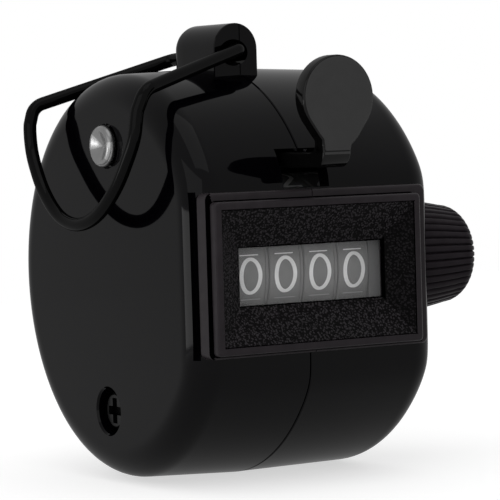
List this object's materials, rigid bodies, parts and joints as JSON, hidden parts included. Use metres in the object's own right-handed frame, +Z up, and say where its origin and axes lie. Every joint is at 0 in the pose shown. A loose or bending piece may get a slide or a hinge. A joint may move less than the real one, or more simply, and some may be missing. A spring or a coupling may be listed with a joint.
{
  "type": "tally counter",
  "caption": "Round hand tally counter with a funnel-shaped digit window, thumb lever, reset knob and wire finger ring.",
  "frame": {"origin": "on the round case's own axis, 14.1 mm in from its flat left end face", "axes": "+Z up, towards the ring's lug; -Y towards the digit window; +X along the wheels' axis, towards the reset knob"},
  "size_m": [0.0432, 0.0427, 0.0464],
  "materials": {
    "case_black": "polished black moulding",
    "bezel_black": "fine-grained black moulding with a smooth rim",
    "clear_plastic": "clear",
    "lever_black": "polished black moulding",
    "black_wire": "black satin coating on steel wire",
    "bright_rivet": "bright plated",
    "black_screw": "blackened",
    "knob_black": "polished black moulding",
    "wheel_grey": "dark grey moulding with white figures",
    "steel": "plain stamped or turned",
    "spring_steel": "drawn wire and strip",
    "brass": "turned",
    "nylon": "natural"
  },
  "bodies": {
    "case": {"left_shell": "case_black", "right_shell": "case_black", "window_bezel": "bezel_black", "window_lens": "clear_plastic", "case_rivet": "bright_rivet", "case_screw": "black_screw", "left_frame_plate": "steel", "right_frame_plate": "steel", "rivet_spacer": "brass", "front_tie_bar": "steel", "rear_tie_bar": "steel", "lever_pin": "steel", "lever_spring": "spring_steel", "stop_pawl_pin": "steel", "stop_pawl_spring": "spring_steel", "knob_washer": "nylon", "tens_carrier": "steel", "hundreds_carrier": "steel", "thousands_carrier": "steel"},
    "ring": {"finger_ring": "black_wire"},
    "lever": {"thumb_lever": "lever_black", "drive_pawl_pin": "steel", "drive_pawl_spring": "spring_steel"},
    "drive_pawl": {"drive_pawl": "steel"},
    "stop_pawl": {"stop_pawl": "steel"},
    "knob": {"reset_knob": "knob_black", "wheel_shaft": "steel", "shaft_clip": "spring_steel"},
    "units": {"units_wheel": "wheel_grey", "ratchet_wheel": "steel"},
    "tens": {"tens_wheel": "wheel_grey"},
    "hundreds": {"hundreds_wheel": "wheel_grey"},
    "thousands": {"thousands_wheel": "wheel_grey"},
    "tens_pinion": {"tens_pinion": "nylon"},
    "hundreds_pinion": {"hundreds_pinion": "nylon"},
    "thousands_pinion": {"thousands_pinion": "nylon"}
  },
  "joints": [
    {"name": "ring_hinge", "type": "hinge", "parent": "case", "child": "ring", "pos_m": [-0.0015, 0.00025, 0.0224], "axis": [0, 1, 0], "range_deg": [0, 210]},
    {"name": "lever_hinge", "type": "hinge", "parent": "case", "child": "lever", "pos_m": [-0.00105, -0.008, 0.0133], "axis": [1, 0, 0], "range_deg": [0, 10], "stiffness_Nm_per_rad": 0.06, "springref_deg": -17.19},
    {"name": "drive_pawl_hinge", "type": "hinge", "parent": "lever", "child": "drive_pawl", "pos_m": [0.0079, 0.0065, 0.008], "axis": [1, 0, 0], "range_deg": [-13, 0]},
    {"name": "stop_pawl_hinge", "type": "hinge", "parent": "case", "child": "stop_pawl", "pos_m": [0.0079, -0.0124, -0.0047], "axis": [1, 0, 0], "range_deg": [-8, 0]},
    {"name": "knob_spin", "type": "hinge", "parent": "case", "child": "knob", "pos_m": [0, -0.006, 0.0007], "axis": [1, 0, 0], "continuous": true},
    {"name": "units_spin", "type": "hinge", "parent": "case", "child": "units", "pos_m": [0, -0.006, 0.0007], "axis": [1, 0, 0], "continuous": true},
    {"name": "tens_spin", "type": "hinge", "parent": "case", "child": "tens", "pos_m": [0, -0.006, 0.0007], "axis": [1, 0, 0], "continuous": true},
    {"name": "hundreds_spin", "type": "hinge", "parent": "case", "child": "hundreds", "pos_m": [0, -0.006, 0.0007], "axis": [1, 0, 0], "continuous": true},
    {"name": "thousands_spin", "type": "hinge", "parent": "case", "child": "thousands", "pos_m": [0, -0.006, 0.0007], "axis": [1, 0, 0], "continuous": true},
    {"name": "tens_pinion_spin", "type": "hinge", "parent": "case", "child": "tens_pinion", "pos_m": [0, -0.00198, -0.00244], "axis": [1, 0, 0], "continuous": true},
    {"name": "hundreds_pinion_spin", "type": "hinge", "parent": "case", "child": "hundreds_pinion", "pos_m": [0, -0.00198, -0.00244], "axis": [1, 0, 0], "continuous": true},
    {"name": "thousands_pinion_spin", "type": "hinge", "parent": "case", "child": "thousands_pinion", "pos_m": [0, -0.00198, -0.00244], "axis": [1, 0, 0], "continuous": true}
  ],
  "couplings": [
    {"joint": "drive_pawl_hinge", "follows": "lever_hinge", "ratio": -1.2},
    {"joint": "tens_spin", "follows": "units_spin", "ratio": 0.1},
    {"joint": "hundreds_spin", "follows": "units_spin", "ratio": 0.01},
    {"joint": "thousands_spin", "follows": "units_spin", "ratio": 0.001},
    {"joint": "tens_pinion_spin", "follows": "units_spin", "ratio": 0.33333},
    {"joint": "hundreds_pinion_spin", "follows": "units_spin", "ratio": 0.033333},
    {"joint": "thousands_pinion_spin", "follows": "units_spin", "ratio": 0.0033333}
  ]
}
